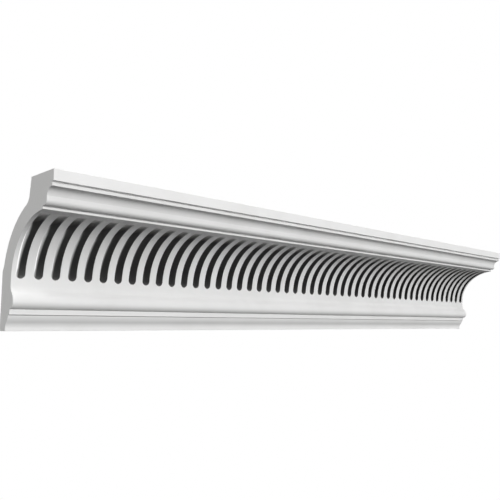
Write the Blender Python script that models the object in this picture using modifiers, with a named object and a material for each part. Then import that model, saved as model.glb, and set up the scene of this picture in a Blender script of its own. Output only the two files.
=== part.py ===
"""Slotted cove cornice, one moulded length.

Metres, +Z up. X runs along the wall, the wall face is the plane y = 0 and the
room is on -Y. The origin is the middle of the wall face.
"""

import math

import bpy
import bmesh
from mathutils import Matrix, Vector

# Overall length and the faces that touch the building
LENGTH = 2.000
WALL_FACE_HEIGHT = 0.127
CEILING_FACE_DEPTH = 0.098

# Members of the front, from the foot up: heights are measured from the foot,
# projections from the wall face
FOOT_PROJECTION = 0.0265
FOOT_HEIGHT = 0.0060
OGEE_MIDDLE = (0.0320, 0.0190)
OGEE_TOP = (0.0393, 0.0336)
OGEE_HOLLOW = -0.0012
OGEE_SWELL = 0.0011
FILLET_PROJECTION = 0.0448
FILLET_BOTTOM = 0.0347
FILLET_TOP = 0.0464
BEAD_NOSE = (0.0600, 0.0613)
BEAD_CROWN_RADIUS = 0.0255
BEAD_CROWN_TURN = 48.0
SWEEP_TOP = 0.0961
SWEEP_HOLLOW = -0.0017

# Cove: a quarter of an ellipse that starts upright
COVE_PROJECTION = 0.0448
COVE_SPRING = 0.1126
COVE_DEPTH = 0.1415
COVE_RISE = 0.1283

# Members of the head
LIP_PROJECTION = 0.1778
LIP_BOTTOM = 0.2412
LIP_NOSE = 0.0040
LIP_TOP = 0.2479
OVOLO_INNER = 0.1835
OVOLO_RADIUS = 0.0100
RISER_TOP = 0.2660
CAVETTO_TOP = (0.2100, 0.2822)
CAVETTO_HOLLOW = -0.0036
BAND_PROJECTION = 0.2145
BAND_TOP = 0.2887
QUIRK_HEIGHT = 0.0033
QUIRK_DEPTH = 0.0035
FASCIA_PROJECTION = 0.2190
TOTAL_HEIGHT = 0.3155

# Back of the hollow: an arc behind the cove
BACK_CENTRE = (0.1762, 0.1017)
BACK_RADIUS = 0.1740
BACK_FOOT = 0.1380
BACK_HEAD = 0.1030
BACK_SHOULDER = (0.1148, 0.2735)
BACK_SHOULDER_HOLLOW = -0.0015

# Slots through the cove, cut level from front to back
SLOT_WIDTH = 0.0210
SLOT_PITCH = 0.0400
SLOT_FOOT = 0.1108
SLOT_HEAD = 0.2380
SLOT_HEAD_CORNER = 0.0030

# Facets and creases
COVE_STEPS = 16
BACK_STEPS = 12
BEAD_STEPS = 7
SMALL_STEPS = 4
OVOLO_STEPS = 6
CAVETTO_STEPS = 5
SLOT_FOOT_STEPS = 10
SLOT_CORNER_STEPS = 2
WELD = 0.00001
FLAT_ANGLE = 0.0002
CREASE_DEGREES = 28.0

# Finish
WHITE = (0.86, 0.86, 0.85)
WHITE_ROUGHNESS = 0.55


def arc_by_rise(start, end, rise, steps):
    """Points after start up to end on an arc whose middle stands off the chord by rise."""
    start, end = Vector(start), Vector(end)
    chord = end - start
    outward = Vector((chord.y, -chord.x)).normalized()
    half = chord.length / 2
    radius = (half * half + rise * rise) / (2 * rise)
    centre = start + chord / 2 + outward * (rise - radius)
    first = start - centre
    last = end - centre
    turn = first.angle_signed(last)
    points = []
    for step in range(1, steps + 1):
        points.append(centre + Matrix.Rotation(-turn * step / steps, 2) @ first)
    return [tuple(point) for point in points]


def arc_by_centre(centre, radius, start, end, steps):
    """Points on a circle from one angle to another, in degrees from the outward level."""
    points = []
    for step in range(steps + 1):
        angle = math.radians(start + (end - start) * step / steps)
        points.append((centre[0] + radius * math.cos(angle), centre[1] + radius * math.sin(angle)))
    return points


def bead_points():
    """The bead from the top of the fillet, round its nose, to the start of the sweep."""
    reach = BEAD_NOSE[0] - FILLET_PROJECTION
    drop = BEAD_NOSE[1] - FILLET_TOP
    points = []
    for step in range(1, BEAD_STEPS + 1):
        angle = math.radians(90) * step / BEAD_STEPS
        across = FILLET_PROJECTION + reach * math.sin(angle)
        points.append((across, BEAD_NOSE[1] - drop * math.cos(angle)))
    centre = (BEAD_NOSE[0] - BEAD_CROWN_RADIUS, BEAD_NOSE[1])
    crown = arc_by_centre(centre, BEAD_CROWN_RADIUS, 0, BEAD_CROWN_TURN, BEAD_STEPS)
    return points + crown[1:]


def cove_points():
    """The cove from its upright start to just behind the lip."""
    end = LIP_PROJECTION - LIP_NOSE
    last = math.acos((COVE_PROJECTION + COVE_DEPTH - end) / COVE_DEPTH)
    points = []
    for step in range(COVE_STEPS + 1):
        angle = last * step / COVE_STEPS
        across = COVE_PROJECTION + COVE_DEPTH * (1 - math.cos(angle))
        points.append((across, COVE_SPRING + COVE_RISE * math.sin(angle)))
    return points


def back_points():
    """The back from the ceiling face down to the top of the wall face."""
    top = (FASCIA_PROJECTION - CEILING_FACE_DEPTH, TOTAL_HEIGHT)
    head = math.acos((BACK_CENTRE[0] - BACK_HEAD) / BACK_RADIUS)
    foot = math.asin((BACK_FOOT - BACK_CENTRE[1]) / BACK_RADIUS)
    arc = []
    for step in range(BACK_STEPS + 1):
        angle = head + (foot - head) * step / BACK_STEPS
        across = BACK_CENTRE[0] - BACK_RADIUS * math.cos(angle)
        arc.append((across, BACK_CENTRE[1] + BACK_RADIUS * math.sin(angle)))
    shoulder = arc_by_rise(BACK_SHOULDER, arc[0], BACK_SHOULDER_HOLLOW, SMALL_STEPS)
    return [top, BACK_SHOULDER] + shoulder[:-1] + arc + [(0.0, WALL_FACE_HEIGHT)]


def section_points():
    """The whole section as (projection, height), round from the foot of the wall face."""
    points = [(0.0, 0.0), (FOOT_PROJECTION, 0.0), (FOOT_PROJECTION, FOOT_HEIGHT)]
    points += arc_by_rise(points[-1], OGEE_MIDDLE, OGEE_HOLLOW, SMALL_STEPS)
    points += arc_by_rise(points[-1], OGEE_TOP, OGEE_SWELL, SMALL_STEPS)
    points += [(FILLET_PROJECTION, FILLET_BOTTOM), (FILLET_PROJECTION, FILLET_TOP)]
    points += bead_points()
    points += arc_by_rise(points[-1], (COVE_PROJECTION, SWEEP_TOP), SWEEP_HOLLOW, SMALL_STEPS)
    points += cove_points()
    points += [(LIP_PROJECTION, LIP_BOTTOM), (LIP_PROJECTION, LIP_TOP), (OVOLO_INNER, LIP_TOP)]
    ovolo = arc_by_centre((OVOLO_INNER, LIP_TOP + OVOLO_RADIUS), OVOLO_RADIUS, -90, 0, OVOLO_STEPS)
    points += ovolo[1:]
    points += [(OVOLO_INNER + OVOLO_RADIUS, RISER_TOP)]
    points += arc_by_rise(points[-1], CAVETTO_TOP, CAVETTO_HOLLOW, CAVETTO_STEPS)
    points += [(BAND_PROJECTION, CAVETTO_TOP[1]), (BAND_PROJECTION, BAND_TOP)]
    points += [(BAND_PROJECTION - QUIRK_DEPTH, BAND_TOP)]
    points += [(BAND_PROJECTION - QUIRK_DEPTH, BAND_TOP + QUIRK_HEIGHT)]
    points += [(FASCIA_PROJECTION, BAND_TOP + QUIRK_HEIGHT), (FASCIA_PROJECTION, TOTAL_HEIGHT)]
    return points + back_points()


def slot_points():
    """Outline of one slot seen from the room, as (along, height), round at the foot."""
    radius = SLOT_WIDTH / 2
    side = radius - SLOT_HEAD_CORNER
    top = SLOT_HEAD - SLOT_HEAD_CORNER
    outline = arc_by_centre((side, top), SLOT_HEAD_CORNER, 0, 90, SLOT_CORNER_STEPS)
    outline += arc_by_centre((-side, top), SLOT_HEAD_CORNER, 90, 180, SLOT_CORNER_STEPS)
    outline += arc_by_centre((0.0, SLOT_FOOT + radius), radius, 180, 360, SLOT_FOOT_STEPS)
    return outline


def outline_solid(name, points, half_depth, matrix, collection):
    """A closed mesh object from a flat outline, as thick as twice the half depth."""
    curve = bpy.data.curves.new(name + "_outline", "CURVE")
    curve.dimensions = "2D"
    curve.fill_mode = "BOTH"
    curve.extrude = half_depth
    spline = curve.splines.new("POLY")
    spline.points.add(len(points) - 1)
    for spot, (across, up) in zip(spline.points, points):
        spot.co = (across, up, 0.0, 1.0)
    spline.use_cyclic_u = True
    drawn = bpy.data.objects.new(name + "_outline", curve)
    drawn.matrix_world = matrix
    collection.objects.link(drawn)
    graph = bpy.context.evaluated_depsgraph_get()
    mesh = bpy.data.meshes.new_from_object(drawn.evaluated_get(graph))
    work = bmesh.new()
    work.from_mesh(mesh)
    bmesh.ops.remove_doubles(work, verts=work.verts, dist=WELD)
    bmesh.ops.dissolve_limit(work, angle_limit=FLAT_ANGLE, verts=work.verts, edges=work.edges)
    bmesh.ops.recalc_face_normals(work, faces=work.faces)
    work.to_mesh(mesh)
    work.free()
    solid = bpy.data.objects.new(name, mesh)
    solid.matrix_world = matrix
    mesh.name = name
    collection.objects.link(solid)
    bpy.data.objects.remove(drawn)
    bpy.data.curves.remove(curve)
    return solid


def make_material(name, colour, roughness):
    """A plain finish of its own for a piece."""
    material = bpy.data.materials.new(name)
    material.use_nodes = True
    shader = material.node_tree.nodes["Principled BSDF"]
    shader.inputs["Base Color"].default_value = (*colour, 1.0)
    shader.inputs["Roughness"].default_value = roughness
    material.diffuse_color = (*colour, 1.0)
    return material


def build():
    """Makes the cornice and cuts its slots."""
    for thing in list(bpy.data.objects):
        bpy.data.objects.remove(thing)
    pieces = bpy.data.collections.new("slotted_cornice")
    cutters = bpy.data.collections.new("slotted_cornice_cutters")
    bpy.context.scene.collection.children.link(pieces)
    bpy.context.scene.collection.children.link(cutters)

    # Section: projection runs to -Y and height to +Z, from the middle of the wall face
    drop = Vector((0.0, 0.0, -WALL_FACE_HEIGHT / 2))
    section_turn = Matrix(((0, 0, -1), (-1, 0, 0), (0, 1, 0))).to_4x4()
    place = Matrix.Translation(drop) @ section_turn
    cornice = outline_solid("slotted_cornice", section_points(), LENGTH / 2, place, pieces)

    # Slots: cut level from front to back, with half a rib left at each end
    count = int(round(LENGTH / SLOT_PITCH))
    slot_turn = Matrix.Rotation(math.radians(90), 4, "X")
    first = Vector((-SLOT_PITCH * (count - 1) / 2, -FASCIA_PROJECTION / 2, 0.0)) + drop
    cutter = outline_solid("slot_cutter", slot_points(), FASCIA_PROJECTION,
                           Matrix.Translation(first) @ slot_turn, cutters)
    cutter.hide_render = True
    cutter.display_type = "WIRE"
    repeat = cutter.modifiers.new("along_the_wall", "ARRAY")
    repeat.count = count
    repeat.use_relative_offset = False
    repeat.use_constant_offset = True
    repeat.constant_offset_displace = (SLOT_PITCH, 0.0, 0.0)
    cut = cornice.modifiers.new("slots", "BOOLEAN")
    cut.operation = "DIFFERENCE"
    cut.solver = "EXACT"
    cut.object = cutter

    cornice.data.shade_smooth()
    cornice.data.set_sharp_from_angle(angle=math.radians(CREASE_DEGREES))
    cornice.data.materials.append(make_material("moulded_white", WHITE, WHITE_ROUGHNESS))


build()
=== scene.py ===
import math

import bmesh
import bpy
from mathutils import Matrix, Vector


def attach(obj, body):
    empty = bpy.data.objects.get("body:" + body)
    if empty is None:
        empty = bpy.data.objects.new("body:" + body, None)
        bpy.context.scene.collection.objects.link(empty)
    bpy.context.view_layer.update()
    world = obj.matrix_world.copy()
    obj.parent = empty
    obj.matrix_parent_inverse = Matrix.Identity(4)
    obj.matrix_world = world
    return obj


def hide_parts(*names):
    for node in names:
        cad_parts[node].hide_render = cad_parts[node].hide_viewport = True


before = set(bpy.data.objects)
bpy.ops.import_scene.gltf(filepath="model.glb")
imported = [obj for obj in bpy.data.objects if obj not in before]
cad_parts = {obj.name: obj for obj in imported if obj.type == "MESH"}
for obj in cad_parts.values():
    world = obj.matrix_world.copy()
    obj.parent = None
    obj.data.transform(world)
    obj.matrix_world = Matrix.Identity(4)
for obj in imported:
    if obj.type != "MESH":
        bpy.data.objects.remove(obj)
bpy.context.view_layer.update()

# Sizes are in metres. A pair is (projection from the wall face, height above the foot).
cornice = {
    "node": "slotted_cornice",
    "slot": "moulded_white",
    "length": 2.000,
    "wallFaceHeight": 0.127,
    "ceilingFaceDepth": 0.098,
    "totalHeight": 0.3155,
    "footProjection": 0.0265,
    "footHeight": 0.0060,
    "ogeeMiddle": (0.0320, 0.0190),
    "ogeeTop": (0.0393, 0.0336),
    "ogeeHollow": -0.0012,
    "ogeeSwell": 0.0011,
    "filletProjection": 0.0448,
    "filletBottom": 0.0347,
    "filletTop": 0.0464,
    "beadNose": (0.0600, 0.0613),
    "beadCrownRadius": 0.0255,
    "beadCrownTurn": 48.0,      # degrees
    "sweepTop": 0.0961,
    "sweepHollow": -0.0017,
    "coveProjection": 0.0448,
    "coveSpring": 0.1126,
    "coveDepth": 0.1415,
    "coveRise": 0.1283,
    "lipProjection": 0.1778,
    "lipBottom": 0.2412,
    "lipNose": 0.0040,
    "lipTop": 0.2479,
    "ovoloInner": 0.1835,
    "ovoloRadius": 0.0100,
    "riserTop": 0.2660,
    "cavettoTop": (0.2100, 0.2822),
    "cavettoHollow": -0.0036,
    "bandProjection": 0.2145,
    "bandTop": 0.2887,
    "quirkHeight": 0.0033,
    "quirkDepth": 0.0035,
    "fasciaProjection": 0.2190,
    "backCentre": (0.1762, 0.1017),
    "backRadius": 0.1740,
    "backFoot": 0.1380,
    "backHead": 0.1030,
    "backShoulder": (0.1148, 0.2735),
    "backShoulderHollow": -0.0015,
    "arrisRadius": 0.0007,
    "arrisSteps": 3,
    "arrisTurn": 30.0,          # degrees; gentler turns are left as they are
    "arrisShare": 0.4,          # most of a side that one rounded arris takes
    "coveSteps": 56,
    "backSteps": 28,
    "beadSteps": 14,
    "curveSteps": 10,
}

slots = {
    "pitch": 0.0400,
    "width": 0.0210,
    "foot": 0.1108,
    "head": 0.2380,
    "headCorner": 0.0030,
    "footSteps": 24,
    "cornerSteps": 9,
    "frontEase": 0.0007,        # how far the slot's arris is rubbed back
    "easeSteps": 2,
    "easeProfile": 0.5,         # 0.5 is round
    "squareness": 0.001,        # how far a slot wall's normal may lean
    "weld": 0.00001,            # points nearer than this are one
    "creaseDegrees": 12.0,      # sharper turns are shaded as hard edges
}


def arcByRise(start, end, rise, steps):
    start, end = Vector(start), Vector(end)
    chord = end - start
    outward = Vector((chord.y, -chord.x)).normalized()
    half = chord.length / 2
    radius = (half * half + rise * rise) / (2 * rise)
    centre = start + chord / 2 + outward * (rise - radius)
    first = start - centre
    turn = first.angle_signed(end - centre)
    return [tuple(centre + Matrix.Rotation(-turn * step / steps, 2) @ first)
            for step in range(1, steps + 1)]


def arcByCentre(centre, radius, start, end, steps):
    points = []
    for step in range(steps + 1):
        angle = math.radians(start + (end - start) * step / steps)
        points.append((centre[0] + radius * math.cos(angle),
                       centre[1] + radius * math.sin(angle)))
    return points


def beadPoints(c):
    nose, steps = c["beadNose"], c["beadSteps"]
    reach, drop = nose[0] - c["filletProjection"], nose[1] - c["filletTop"]
    points = []
    for step in range(1, steps + 1):
        angle = math.radians(90) * step / steps
        points.append((c["filletProjection"] + reach * math.sin(angle),
                       nose[1] - drop * math.cos(angle)))
    centre = (nose[0] - c["beadCrownRadius"], nose[1])
    return points + arcByCentre(centre, c["beadCrownRadius"], 0, c["beadCrownTurn"], steps)[1:]


def covePoints(c):
    end = c["lipProjection"] - c["lipNose"]
    last = math.acos((c["coveProjection"] + c["coveDepth"] - end) / c["coveDepth"])
    points = []
    for step in range(c["coveSteps"] + 1):
        angle = last * step / c["coveSteps"]
        across = c["coveProjection"] + c["coveDepth"] * (1 - math.cos(angle))
        points.append((across, c["coveSpring"] + c["coveRise"] * math.sin(angle)))
    return points


def backPoints(c):
    centre, radius = c["backCentre"], c["backRadius"]
    head = 180 - math.degrees(math.acos((centre[0] - c["backHead"]) / radius))
    foot = 180 - math.degrees(math.asin((c["backFoot"] - centre[1]) / radius))
    arc = arcByCentre(centre, radius, head, foot, c["backSteps"])
    top = (c["fasciaProjection"] - c["ceilingFaceDepth"], c["totalHeight"])
    shoulder = arcByRise(c["backShoulder"], arc[0], c["backShoulderHollow"], c["curveSteps"])
    return [top, c["backShoulder"]] + shoulder[:-1] + arc + [(0.0, c["wallFaceHeight"])]


def sectionPoints(c):
    few = c["curveSteps"]
    points = [(0.0, 0.0), (c["footProjection"], 0.0), (c["footProjection"], c["footHeight"])]
    points += arcByRise(points[-1], c["ogeeMiddle"], c["ogeeHollow"], few)
    points += arcByRise(points[-1], c["ogeeTop"], c["ogeeSwell"], few)
    fillet = c["filletProjection"]
    points += [(fillet, c["filletBottom"]), (fillet, c["filletTop"])]
    points += beadPoints(c)
    sweepEnd = (c["coveProjection"], c["sweepTop"])
    points += arcByRise(points[-1], sweepEnd, c["sweepHollow"], few)
    points += covePoints(c)
    points += [(c["lipProjection"], c["lipBottom"]), (c["lipProjection"], c["lipTop"])]
    points += [(c["ovoloInner"], c["lipTop"])]
    ovolo = (c["ovoloInner"], c["lipTop"] + c["ovoloRadius"])
    points += arcByCentre(ovolo, c["ovoloRadius"], -90, 0, few)[1:]
    points += [(c["ovoloInner"] + c["ovoloRadius"], c["riserTop"])]
    points += arcByRise(points[-1], c["cavettoTop"], c["cavettoHollow"], few)
    band, quirk = c["bandProjection"], c["bandProjection"] - c["quirkDepth"]
    quirkTop = c["bandTop"] + c["quirkHeight"]
    points += [(band, c["cavettoTop"][1]), (band, c["bandTop"])]
    points += [(quirk, c["bandTop"]), (quirk, quirkTop)]
    points += [(c["fasciaProjection"], quirkTop), (c["fasciaProjection"], c["totalHeight"])]
    return points + backPoints(c)


def easeArrises(points, c):
    eased = []
    for index, here in enumerate(points):
        here = Vector(here)
        toLast = Vector(points[index - 1]) - here
        toNext = Vector(points[(index + 1) % len(points)]) - here
        inside = toLast.angle(toNext)
        if math.degrees(math.pi - inside) < c["arrisTurn"]:
            eased.append(tuple(here))
            continue
        most = c["arrisShare"] * min(toLast.length, toNext.length)
        setBack = min(c["arrisRadius"] / math.tan(inside / 2), most)
        radius = setBack * math.tan(inside / 2)
        bisector = (toLast.normalized() + toNext.normalized()).normalized()
        centre = here + bisector * (radius / math.sin(inside / 2))
        first = here + toLast.normalized() * setBack - centre
        last = here + toNext.normalized() * setBack - centre
        turn = first.angle_signed(last) / c["arrisSteps"]
        for step in range(c["arrisSteps"] + 1):
            eased.append(tuple(centre + Matrix.Rotation(-turn * step, 2) @ first))
    return eased


def prism(name, outline, along, place):      # a closed solid from an outline, swept along a vector
    work = bmesh.new()
    near = [work.verts.new(place(*point)) for point in outline]
    far = [work.verts.new(vert.co + Vector(along)) for vert in near]
    work.faces.new(near)
    work.faces.new(list(reversed(far)))
    for index in range(len(outline)):
        after = (index + 1) % len(outline)
        work.faces.new((near[index], near[after], far[after], far[index]))
    bmesh.ops.recalc_face_normals(work, faces=work.faces)
    mesh = bpy.data.meshes.new(name)
    work.to_mesh(mesh)
    work.free()
    thing = bpy.data.objects.new(name, mesh)
    bpy.context.scene.collection.objects.link(thing)
    return thing


def slotOutline(s):
    radius = s["width"] / 2
    side, top = radius - s["headCorner"], s["head"] - s["headCorner"]
    outline = arcByCentre((side, top), s["headCorner"], 0, 90, s["cornerSteps"])
    outline += arcByCentre((-side, top), s["headCorner"], 90, 180, s["cornerSteps"])
    return outline + arcByCentre((0.0, s["foot"] + radius), radius, 180, 360, s["footSteps"])


def plainMesh(thing, name):                  # the evaluated form as a mesh with nothing live on it
    graph = bpy.context.evaluated_depsgraph_get()
    mesh = bpy.data.meshes.new_from_object(thing.evaluated_get(graph))
    mesh.name = name
    return mesh


def makeBay(c, s):                           # one rib pitch of the moulding, open at both sides
    drop = c["wallFaceHeight"] / 2
    half = s["pitch"] / 2
    section = easeArrises(sectionPoints(c), c)
    bay = prism("bay", section, (s["pitch"], 0, 0),
                lambda across, up: (-half, -across, up - drop))
    spare = c["fasciaProjection"] / 2        # the cutter stands out this far, in front and behind
    front = -(c["fasciaProjection"] + spare)
    cutter = prism("slotCutter", slotOutline(s), (0, spare - front, 0),
                   lambda along, up: (along, front, up - drop))
    cut = bay.modifiers.new("slot", "BOOLEAN")
    cut.operation = "DIFFERENCE"
    cut.solver = "EXACT"
    cut.object = cutter
    mesh = plainMesh(bay, "bay")
    bpy.data.objects.remove(bay)
    bpy.data.objects.remove(cutter)

    work = bmesh.new()
    work.from_mesh(mesh)
    bmesh.ops.remove_doubles(work, verts=work.verts, dist=s["weld"])
    sides = [face for face in work.faces
             if abs(abs(face.calc_center_median().x) - half) < s["weld"]]
    bmesh.ops.delete(work, geom=sides, context="FACES")
    reach = s["width"] / 2 + s["weld"]
    walls = set()
    for face in work.faces:
        if abs(face.normal.y) < s["squareness"] and all(abs(v.co.x) < reach for v in face.verts):
            walls.add(face)
    arris = [edge for edge in work.edges
             if len(edge.link_faces) == 2 and sum(face in walls for face in edge.link_faces) == 1]
    bmesh.ops.bevel(work, geom=arris, offset=s["frontEase"], offset_type="OFFSET",
                    segments=s["easeSteps"], profile=s["easeProfile"], affect="EDGES",
                    clamp_overlap=True)
    work.to_mesh(mesh)
    work.free()
    print("bay:", len(section), "section points,", len(mesh.polygons), "faces")
    return mesh


def repeatTree(name):                        # Geometry Nodes: one bay repeated along the wall
    tree = bpy.data.node_groups.new(name, "GeometryNodeTree")
    sockets = {}
    for label, kind in (("Bay", "NodeSocketGeometry"), ("Bay Pitch", "NodeSocketFloat"),
                        ("Bay Count", "NodeSocketInt"), ("Finish", "NodeSocketMaterial")):
        made = tree.interface.new_socket(name=label, in_out="INPUT", socket_type=kind)
        sockets[label] = made.identifier
    tree.interface.new_socket(name="Moulding", in_out="OUTPUT", socket_type="NodeSocketGeometry")
    nodes, links = tree.nodes, tree.links

    def node(kind, **settings):
        made = nodes.new(kind)
        for key, value in settings.items():
            setattr(made, key, value)
        return made

    start = node("NodeGroupInput")
    less = node("ShaderNodeMath", operation="SUBTRACT")
    less.inputs[1].default_value = 1.0
    reach = node("ShaderNodeMath", operation="MULTIPLY")
    back = node("ShaderNodeMath", operation="MULTIPLY")
    back.inputs[1].default_value = -0.5      # half the row lies to the left of the origin
    firstPlace = node("ShaderNodeCombineXYZ")
    step = node("ShaderNodeCombineXYZ")
    line = node("GeometryNodeMeshLine", mode="OFFSET")
    onPoints = node("GeometryNodeInstanceOnPoints")
    real = node("GeometryNodeRealizeInstances")
    finishAndShade = node("GeometryNodeSetMaterial")
    end = node("NodeGroupOutput")
    links.new(start.outputs["Bay Count"], less.inputs[0])
    links.new(less.outputs[0], reach.inputs[0])
    links.new(start.outputs["Bay Pitch"], reach.inputs[1])
    links.new(reach.outputs[0], back.inputs[0])
    links.new(back.outputs[0], firstPlace.inputs["X"])
    links.new(start.outputs["Bay Pitch"], step.inputs["X"])
    links.new(start.outputs["Bay Count"], line.inputs["Count"])
    links.new(firstPlace.outputs[0], line.inputs["Start Location"])
    links.new(step.outputs[0], line.inputs["Offset"])
    links.new(line.outputs["Mesh"], onPoints.inputs["Points"])
    links.new(start.outputs["Bay"], onPoints.inputs["Instance"])
    links.new(onPoints.outputs["Instances"], real.inputs["Geometry"])
    links.new(real.outputs["Geometry"], finishAndShade.inputs["Geometry"])
    links.new(start.outputs["Finish"], finishAndShade.inputs["Material"])
    links.new(finishAndShade.outputs["Geometry"], end.inputs["Moulding"])
    return tree, sockets


def makeCornice(c, s, material):
    bay = bpy.data.objects.new("bay", makeBay(c, s))
    bpy.context.scene.collection.objects.link(bay)
    tree, sockets = repeatTree("repeat bay along wall")
    repeat = bay.modifiers.new("repeat", "NODES")
    repeat.node_group = tree
    repeat[sockets["Bay Pitch"]] = s["pitch"]
    repeat[sockets["Bay Count"]] = int(round(c["length"] / s["pitch"]))
    repeat[sockets["Finish"]] = material
    mesh = plainMesh(bay, "moulding")
    bay.modifiers.remove(repeat)
    bpy.data.objects.remove(bay)
    bpy.data.node_groups.remove(tree)

    work = bmesh.new()                       # bays joined, and both ends closed square
    work.from_mesh(mesh)
    bmesh.ops.remove_doubles(work, verts=work.verts, dist=s["weld"])
    rim = [edge for edge in work.edges if edge.is_boundary]
    bmesh.ops.holes_fill(work, edges=rim, sides=0)
    bmesh.ops.recalc_face_normals(work, faces=work.faces)
    print("cornice:", sum(edge.is_boundary for edge in work.edges), "open edges,",
          sum(not edge.is_manifold for edge in work.edges), "bad edges,",
          sum(len(face.verts) - 2 for face in work.faces), "triangles,",
          "volume %.5f" % work.calc_volume(signed=True))
    work.to_mesh(mesh)
    work.free()
    mesh.shade_smooth()
    mesh.set_sharp_from_angle(angle=math.radians(s["creaseDegrees"]))
    moulding = bpy.data.objects.new("corniceMoulding", mesh)
    bpy.context.scene.collection.objects.link(moulding)
    return moulding


class Wire:                                  # one value in a shader, so that maths reads as maths
    def __init__(self, board, socket):
        self.board, self.socket = board, socket

    def maths(self, operation, *values):
        return self.board.add("Math", {"operation": operation}, values)

    def __add__(self, other):
        return self.maths("ADD", self, other)

    def __sub__(self, other):
        return self.maths("SUBTRACT", self, other)

    def __rsub__(self, other):
        return self.maths("SUBTRACT", other, self)

    def __mul__(self, other):
        return self.maths("MULTIPLY", self, other)

    def __truediv__(self, other):
        return self.maths("DIVIDE", self, other)

    def __rtruediv__(self, other):
        return self.maths("DIVIDE", other, self)

    __radd__ = __add__
    __rmul__ = __mul__

    def root(self):
        return self.maths("SQRT", self.atLeast(0.0))

    def size(self):
        return self.maths("ABSOLUTE", self)

    def atLeast(self, other):
        return self.maths("MAXIMUM", self, other)

    def atMost(self, other):
        return self.maths("MINIMUM", self, other)

    def rise(self, low, high, bottom=0.0, top=1.0):        # eased step from bottom to top
        values = {"Value": self, "From Min": low, "From Max": high,
                  "To Min": bottom, "To Max": top}
        return self.board.add("MapRange", {"interpolation_type": "SMOOTHSTEP"}, values)


class Board:                                 # a material and the one way that nodes are put on it
    def __init__(self, name):
        self.material = bpy.data.materials.new(name)
        self.material.use_nodes = True
        self.tree = self.material.node_tree
        self.shader = self.tree.nodes["Principled BSDF"]

    def put(self, socket, value):
        if isinstance(value, Wire):
            self.tree.links.new(value.socket, socket)
        elif isinstance(value, tuple) and len(value) == 3 and socket.type == "RGBA":
            socket.default_value = (*value, 1.0)
        else:
            socket.default_value = value

    def add(self, kind, settings, values, output=0):
        node = self.tree.nodes.new("ShaderNode" + kind)
        for key, value in settings.items():
            setattr(node, key, value)
        pairs = values.items() if isinstance(values, dict) else enumerate(values)
        for key, value in pairs:
            self.put(node.inputs[key], value)
        return Wire(self, node.outputs[output])

    def noise(self, place, scale, detail):
        return self.add("TexNoise", {}, {"Vector": place, "Scale": scale, "Detail": detail})

    def mixColour(self, factor, first, second):            # colours go in at 6 and 7, out at 2
        values = {0: factor, 6: first, 7: second}
        return self.add("Mix", {"data_type": "RGBA"}, values, output=2)


# A step is an eased one: from, to, and the values before and after it, or else 0 and 1
# The white finish, and the painted shade and painted light on the slots' walls
finishAndShade = {
    "white": (0.86, 0.86, 0.855),
    "thinWhite": (0.82, 0.82, 0.812),            # where the primer lies a little thinner
    "thinPatch": (0.35, 0.75),                   # step on the patches' noise
    "cutFoam": (0.80, 0.80, 0.79),               # the square ends
    "cutEdge": (0.0004, 0.0006, 1.0, 0.0),       # step in from the ends
    "shadeDark": (0.0, 0.0, 0.0),                 # painted shade: the slots' walls, black where they lie in shade
    "shadeFace": (0.0003, 0.0012),                # they start at these steps: behind the face,
    "shadeBack": (-0.0005, 0.0010),               # before the hollow's back,
    "shadeEnd": (0.0005, 0.0010),                 # in from the ends,
    "shadeFoot": (-0.0008, 0.0002),               # above a slot's foot
    "shadeHead": (-0.0010, -0.0003),              # and below its head
    "backLitReach": (0.0007, 0.0183, 1.10),         # painted light from behind, how far it reaches: level, down, at the head
    "backLitEdge": (-0.0095, 0.0060, 1.0, 0.0),  # step across the end of that reach
    "paintedShade": 0.10,                              # share of white that walls in painted shade keep
    "paintedLightUpper": (0.200, 0.220, 0.0, 0.05),    # painted light: step up the hollow, added to it
    "paintedLightHead": (0.42, 0.0095),                # painted light added below a slot's head: share, height
    "paintedLightDeep": (0.030, 0.060, 1.0, 0.4),      # step inwards, times the head's share
    "paintedLightFoot": (0.17, 0.0520),                # painted light added above a slot's foot: share, height
    "paintedLightEnds": (0.02, 0.16, 1.80, 1.0),       # step in from the ends, times head and foot: painted light stronger near the ends
    "paintedLightLip": 0.36,                           # painted light added just behind the face at a slot's head
    "lipTall": (0.002, 0.016, 1.0, 0.0),         # step down from the head
    "lipDeep": (0.003, 0.0140, 1.0, 0.0),        # step inwards
    "paintedLightRow": (-0.2, 0.9, 1.0, 0.40),         # painted light near the near end: step along the row, times all of the white
    "roughness": 0.50,
    "patchDull": 0.08,                           # roughness that thin patches add
    "cutDull": 0.15,                             # and that the cut ends add
    "patches": (9.0, 3.0),                       # noises: scale, detail
    "grain": (900.0, 2.0),
    "ripple": (60.0, 2.0),
    "rippleHeight": 3.0,                         # in heights of the grain
    "cutGrain": 2.0,                             # how much more grain the cut ends have
    "bumpStrength": 0.25,
    "bumpDistance": 0.00004,
}


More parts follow.
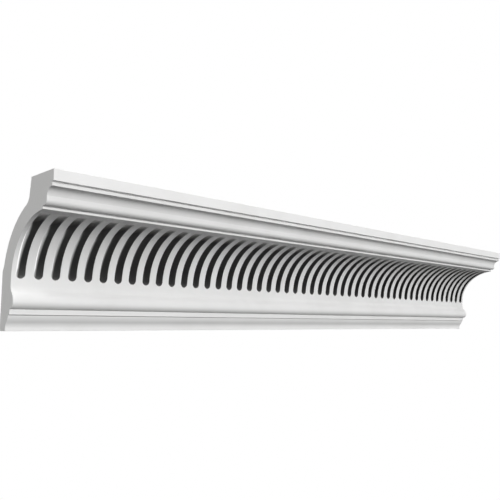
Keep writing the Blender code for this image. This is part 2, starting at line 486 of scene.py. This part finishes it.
def mouldedWhite(c, s, f):
    b = Board(c["slot"])
    place = b.add("TexCoord", {}, [], output="Object")
    x, y, z = [b.add("SeparateXYZ", {}, [place], output=axis) for axis in ("X", "Y", "Z")]
    across = y * -1.0
    height = z + c["wallFaceHeight"] / 2
    fromEnd = c["length"] / 2 - x.size()
    aboveFoot = height - s["foot"]
    belowHead = s["head"] - height

    def backAt(level):                       # projection of the hollow's back at a height
        centre, radius = c["backCentre"], c["backRadius"]
        foot = centre[0] - math.sqrt(radius ** 2 - (c["backFoot"] - centre[1]) ** 2)
        slope = foot / (c["backFoot"] - c["wallFaceHeight"])
        up = level - centre[1]
        arc = centre[0] - (radius ** 2 - up * up).root()
        return arc.atMost((level - c["wallFaceHeight"]).atLeast(0.0) * slope)

    # Level distances behind the cove's face and in front of the hollow's back
    sweep = (height - c["coveSpring"]) / c["coveRise"]
    face = c["coveProjection"] + c["coveDepth"] * (1.0 - (1.0 - sweep * sweep).root())
    back = backAt(height)
    behind = face - across
    before = across - back
    # Where the painted shade lies: inside the slots, clear of the faces and ends
    inside = behind.rise(*f["shadeFace"]) * before.rise(*f["shadeBack"]) * fromEnd.rise(*f["shadeEnd"])
    inside = inside * aboveFoot.rise(*f["shadeFoot"]) * belowHead.rise(*f["shadeHead"])

    # The slots' walls carry painted shade, dark but for the part that light reaches from behind,
    # which keeps the white
    # Painted light: the walls keep the white as far as light from behind reaches
    level, down, atHead = f["backLitReach"]
    reach = (level + backAt(height + down) - back).atMost(belowHead * atHead)
    backLit = (before - reach).rise(*f["backLitEdge"])
    # Painted light: the painted shade is lightened near a slot's head, foot and lip, and near the
    # ends
    share, tall = f["paintedLightHead"]
    head = share * (1.0 - belowHead / tall).atLeast(0.0) * behind.rise(*f["paintedLightDeep"])
    share, tall = f["paintedLightFoot"]
    near = (1.0 - aboveFoot / tall).atLeast(0.0)
    foot = share * near * near
    lip = f["paintedLightLip"] * belowHead.rise(*f["lipTall"]) * behind.rise(*f["lipDeep"])
    shadeTone = f["paintedShade"] + height.rise(*f["paintedLightUpper"]) + lip
    shadeTone = (shadeTone + (head + foot) * fromEnd.rise(*f["paintedLightEnds"])) * x.rise(*f["paintedLightRow"])
    litShare = (backLit + (1.0 - backLit) * shadeTone).atMost(1.0)
    paintedShade = b.mixColour(litShare, f["shadeDark"], f["white"])

    patches, grain, ripple = [b.noise(place, *f[kind]) for kind in ("patches", "grain", "ripple")]
    cut = fromEnd.rise(*f["cutEdge"])
    skin = b.mixColour(patches.rise(*f["thinPatch"]), f["white"], f["thinWhite"])
    skin = b.mixColour(cut, skin, f["cutFoam"])
    # Painted shade inside the slots, the white skin elsewhere
    b.put(b.shader.inputs["Base Color"], b.mixColour(inside, skin, paintedShade))
    dullness = f["roughness"] + f["patchDull"] * patches + f["cutDull"] * cut
    b.put(b.shader.inputs["Roughness"], dullness)
    relief = grain * (1.0 + f["cutGrain"] * cut) + f["rippleHeight"] * ripple
    bump = {"Strength": f["bumpStrength"], "Distance": f["bumpDistance"], "Height": relief}
    b.put(b.shader.inputs["Normal"], b.add("Bump", {}, bump))
    return b.material


moulding = makeCornice(cornice, slots, mouldedWhite(cornice, slots, finishAndShade))
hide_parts(cornice["node"])
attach(moulding, "root")

studio = {
    "lens": 44.035,
    "sensor": 36.0,
    "eye": (-1.5371, -1.3142, -0.0477),
    "right": (0.7154, -0.6987, 0.0026),
    "down": (0.0861, 0.0845, -0.9927),
    "forward": (0.6933, 0.7104, 0.1206),
    "floorHeight": -2.6,
    "floorReach": 30.0,
    "backdrop": (1.0, 1.0, 1.0),
    "air": 0.145,                # strength of the light from all round
    "suns": {                    # name: (the way the light travels, strength, spread in degrees)
        "frontLight": ((0.0, 0.966, -0.259), 2.27, 18.0),
        "endLight": ((0.755, -0.050, -0.654), 1.29, 14.0),
        "topLight": ((0.0, 0.259, -0.966), 0.74, 18.0),
        "leftLight": ((0.287, 0.575, -0.766), 0.40, 18.0),
        "backLight": ((-0.35, -0.80, -0.45), 1.20, 24.0),
    },
}


def paleStage(st):
    reach = st["floorReach"]
    mesh = bpy.data.meshes.new("paleFloor")
    corners = [(-reach, -reach), (reach, -reach), (reach, reach), (-reach, reach)]
    mesh.from_pydata([(x, y, st["floorHeight"]) for x, y in corners], [], [(0, 1, 2, 3)])
    floor = bpy.data.objects.new("paleFloor", mesh)
    bpy.context.scene.collection.objects.link(floor)
    paint = Board("paleFloor")
    paint.put(paint.shader.inputs["Base Color"], (0.0, 0.0, 0.0))
    paint.put(paint.shader.inputs["Specular IOR Level"], 0.0)
    paint.put(paint.shader.inputs["Emission Color"], st["backdrop"])
    paint.put(paint.shader.inputs["Emission Strength"], 1.0)
    mesh.materials.append(paint.material)
    floor.visible_diffuse = False
    floor.visible_glossy = False
    floor.visible_shadow = False

    world = bpy.data.worlds.new("studioAir")
    world.use_nodes = True
    tree = world.node_tree
    air = tree.nodes["Background"]
    air.inputs["Strength"].default_value = st["air"]
    air.inputs["Color"].default_value = (*st["backdrop"], 1.0)
    backdrop = tree.nodes.new("ShaderNodeBackground")
    backdrop.inputs["Color"].default_value = (*st["backdrop"], 1.0)
    rays = tree.nodes.new("ShaderNodeLightPath")
    mix = tree.nodes.new("ShaderNodeMixShader")
    tree.links.new(rays.outputs["Is Camera Ray"], mix.inputs[0])
    tree.links.new(air.outputs[0], mix.inputs[1])
    tree.links.new(backdrop.outputs[0], mix.inputs[2])
    tree.links.new(mix.outputs[0], tree.nodes["World Output"].inputs["Surface"])
    bpy.context.scene.world = world

    for name, (travel, strength, spread) in st["suns"].items():
        lamp = bpy.data.lights.new(name, "SUN")
        lamp.energy = strength
        lamp.angle = math.radians(spread)
        thing = bpy.data.objects.new(name, lamp)
        thing.rotation_euler = Vector(travel).to_track_quat("-Z", "Y").to_euler()
        bpy.context.scene.collection.objects.link(thing)


def photoCamera(st):
    view = bpy.data.cameras.new("photoCamera")
    view.lens = st["lens"]
    view.sensor_width = st["sensor"]
    right, up, back = Vector(st["right"]), -Vector(st["down"]), -Vector(st["forward"])
    turn = Matrix((right, up, back)).transposed().to_4x4()
    camera = bpy.data.objects.new("photoCamera", view)
    camera.matrix_world = Matrix.Translation(Vector(st["eye"])) @ turn
    bpy.context.scene.collection.objects.link(camera)
    bpy.context.scene.camera = camera


paleStage(studio)
photoCamera(studio)
bpy.context.scene.view_settings.view_transform = "Standard"
print("stage and camera placed")
